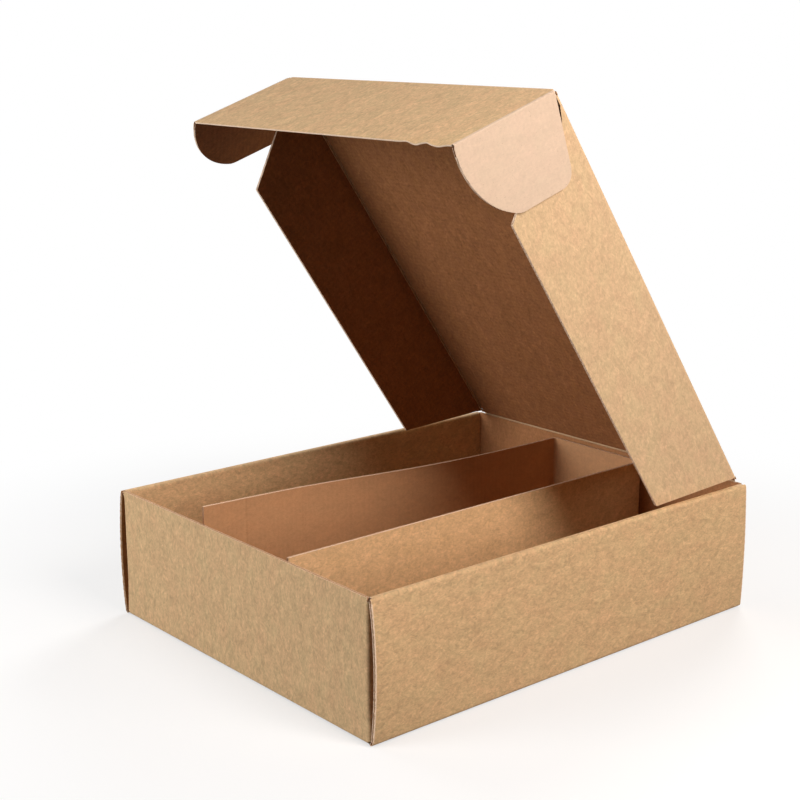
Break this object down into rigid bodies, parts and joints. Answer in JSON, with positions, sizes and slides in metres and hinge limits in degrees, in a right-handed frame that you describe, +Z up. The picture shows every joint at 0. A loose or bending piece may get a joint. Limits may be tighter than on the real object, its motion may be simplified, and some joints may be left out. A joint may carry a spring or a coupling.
{
  "type": "bottle shipping box",
  "caption": "Folded corrugated shipping box with a hinged tuck-in lid and a folded divider that lays bottles side by side.",
  "frame": {"origin": "under the middle of the tray's base, on the surface that the box stands on", "axes": "+X to the right across the front wall, +Y from the front wall to the lid's hinge, +Z up"},
  "size_m": [0.3026, 0.34, 0.3697],
  "materials": {
    "kraft_board": "matt brown kraft corrugated board",
    "divider_board": "matt brown kraft corrugated board"
  },
  "bodies": {
    "tray": {"tray": "kraft_board", "divider": "divider_board"},
    "lid": {"lid_panel": "kraft_board"},
    "front_flap": {"lid_front_flap": "kraft_board"},
    "left_ear": {"left_ear": "kraft_board"},
    "right_ear": {"right_ear": "kraft_board"},
    "left_side_flap": {"lid_left_side_flap": "kraft_board"},
    "right_side_flap": {"lid_right_side_flap": "kraft_board"}
  },
  "joints": [
    {"name": "lid_hinge", "type": "hinge", "parent": "tray", "child": "lid", "pos_m": [0, 0.1691, 0.0921], "axis": [-1, 0, 0], "range_deg": [-41, 124.6]},
    {"name": "front_flap_hinge", "type": "hinge", "parent": "lid", "child": "front_flap", "pos_m": [0, -0.02175, 0.36876], "axis": [-1, 0, 0], "range_deg": [-24, 74.2]},
    {"name": "right_ear_hinge", "type": "hinge", "parent": "front_flap", "child": "right_ear", "pos_m": [0.1315, -0.02175, 0.36876], "axis": [0, -0.9466, -0.3223], "range_deg": [0, 90]},
    {"name": "left_ear_hinge", "type": "hinge", "parent": "front_flap", "child": "left_ear", "pos_m": [-0.1315, -0.02175, 0.36876], "axis": [0, 0.9466, 0.3223], "range_deg": [-34, 56]},
    {"name": "right_side_flap_hinge", "type": "hinge", "parent": "lid", "child": "right_side_flap", "pos_m": [0.1295, 0.1691, 0.0921], "axis": [0, -0.5678, 0.8231], "range_deg": [-40, 0]},
    {"name": "left_side_flap_hinge", "type": "hinge", "parent": "lid", "child": "left_side_flap", "pos_m": [-0.1295, 0.1691, 0.0921], "axis": [0, 0.5678, -0.8231], "range_deg": [-40, 0]}
  ]
}
